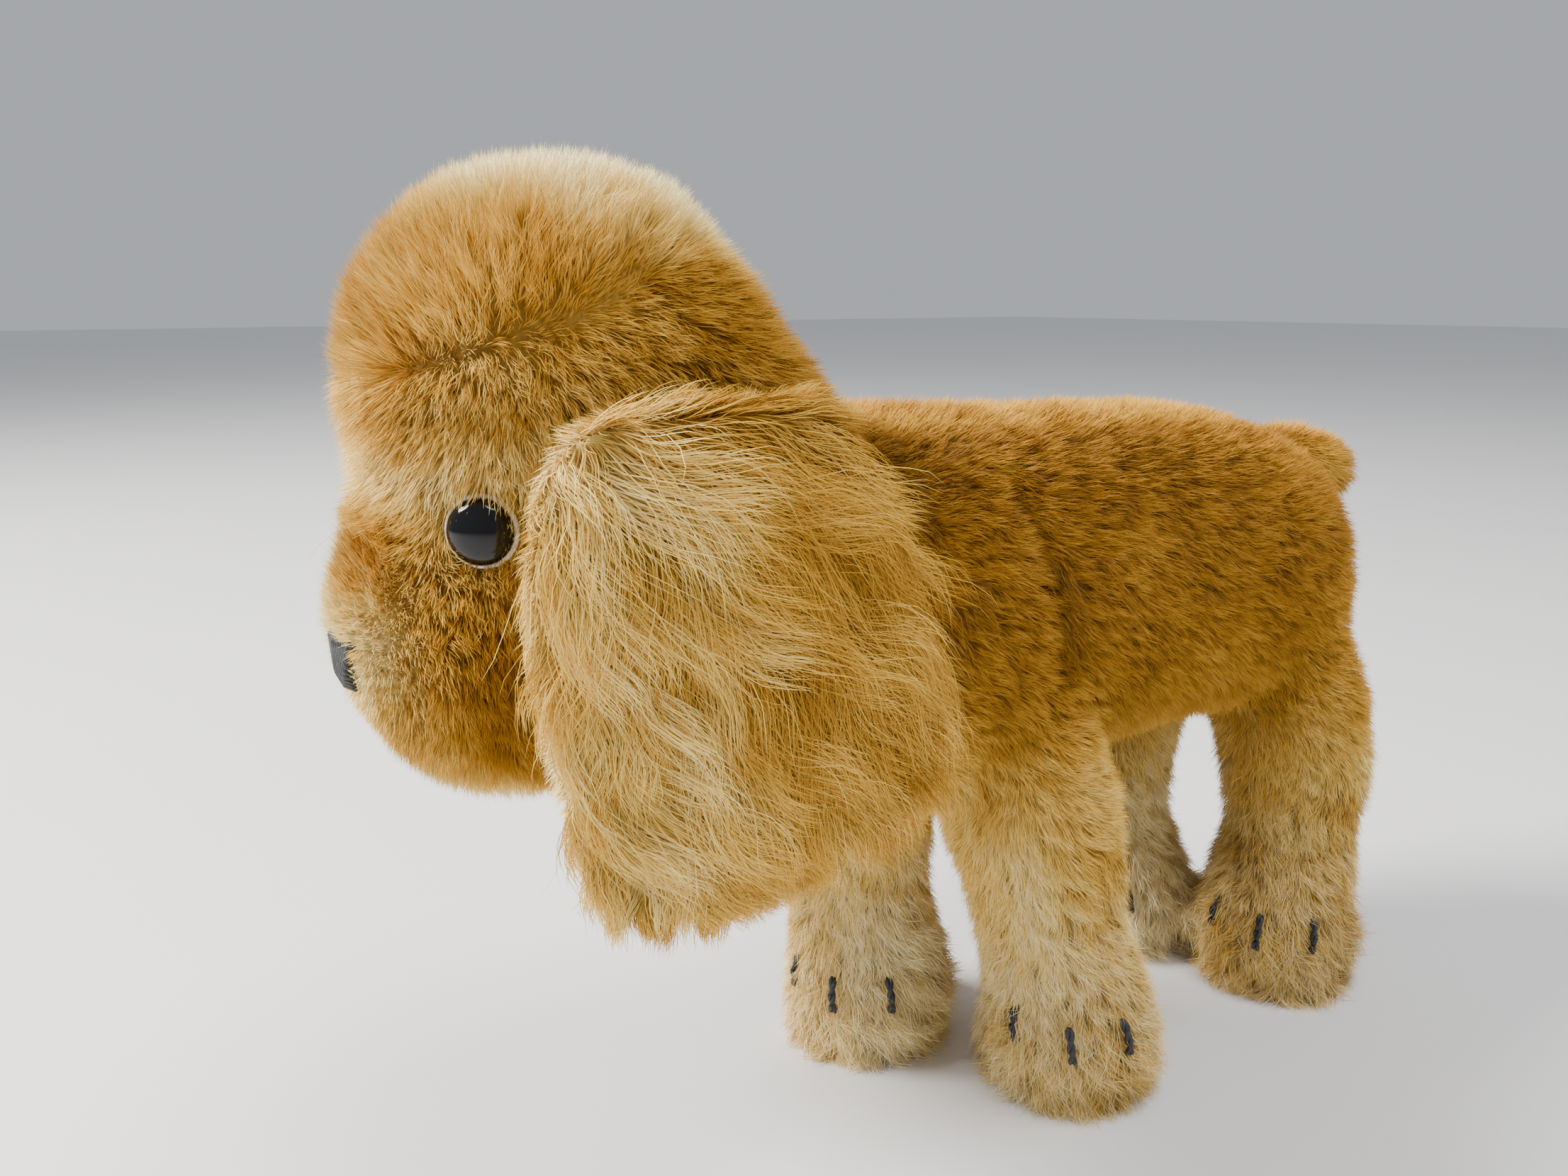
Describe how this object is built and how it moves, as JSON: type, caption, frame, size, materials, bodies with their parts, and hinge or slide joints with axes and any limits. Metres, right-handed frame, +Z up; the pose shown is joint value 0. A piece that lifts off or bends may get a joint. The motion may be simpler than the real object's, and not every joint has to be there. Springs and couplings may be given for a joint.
{
  "type": "plush dog",
  "caption": "Standing spaniel puppy in curly golden mohair with long floppy ears, round head on a disc joint, glass eyes, stitched nose and claws, and a stub tail",
  "frame": {"origin": "centre of the bottom of the bounding box, on the floor the paws stand on", "axes": "-Y is the way the dog faces, +X is the dog's left side, +Z is up"},
  "size_m": [0.0754, 0.2292, 0.1669],
  "materials": {
    "golden_mohair": "matte",
    "cream_mohair": "matte",
    "pale_mohair": "matte",
    "ear_mohair": "matte",
    "ear_lining": "matte",
    "wood_wool": "matte",
    "beige_felt": "matte",
    "black_thread": "satin",
    "black_glass": "gloss",
    "white_backing": "matte",
    "hardboard": "matte",
    "steel": "satin"
  },
  "bodies": {
    "body": {"body_side_left": "golden_mohair", "body_side_right": "golden_mohair", "underbody": "cream_mohair", "trunk_stuffing": "wood_wool", "leg_stuffing_front_left": "wood_wool", "leg_stuffing_front_right": "wood_wool", "leg_stuffing_rear_left": "wood_wool", "leg_stuffing_rear_right": "wood_wool", "sole_pad_front_left": "beige_felt", "sole_pad_front_right": "beige_felt", "sole_pad_rear_left": "beige_felt", "sole_pad_rear_right": "beige_felt", "claw_front_left_1": "black_thread", "claw_front_left_2": "black_thread", "claw_front_left_3": "black_thread", "claw_front_right_1": "black_thread", "claw_front_right_2": "black_thread", "claw_front_right_3": "black_thread", "claw_rear_left_1": "black_thread", "claw_rear_left_2": "black_thread", "claw_rear_left_3": "black_thread", "claw_rear_right_1": "black_thread", "claw_rear_right_2": "black_thread", "claw_rear_right_3": "black_thread", "tail_mohair": "golden_mohair", "tail_stuffing": "wood_wool", "trunk_neck_disc": "hardboard", "trunk_neck_washer": "steel", "neck_cotter_pin": "steel"},
    "head": {"head_side_left": "golden_mohair", "head_side_right": "golden_mohair", "head_gusset": "pale_mohair", "head_stuffing": "wood_wool", "head_neck_disc": "hardboard", "head_neck_washer": "steel", "nose_embroidery": "black_thread", "eye_left": "black_glass", "eye_right": "black_glass", "eye_backing_left": "white_backing", "eye_backing_right": "white_backing", "eye_shank_left": "steel", "eye_shank_right": "steel"},
    "ear_left": {"ear_mohair_left": "ear_mohair", "ear_lining_left": "ear_lining"},
    "ear_right": {"ear_mohair_right": "ear_mohair", "ear_lining_right": "ear_lining"}
  },
  "joints": [
    {"name": "head_swivel", "type": "hinge", "parent": "body", "child": "head", "pos_m": [0, -0.04829, 0.111], "axis": [0, -0.848, 0.5299], "range_deg": [-20, 20]},
    {"name": "ear_left_flop", "type": "hinge", "parent": "head", "child": "ear_left", "pos_m": [0.03, -0.07529, 0.136], "axis": [0, -1, 0], "range_deg": [0, 60]},
    {"name": "ear_right_flop", "type": "hinge", "parent": "head", "child": "ear_right", "pos_m": [-0.03, -0.07529, 0.136], "axis": [0, 1, 0], "range_deg": [0, 60]}
  ]
}
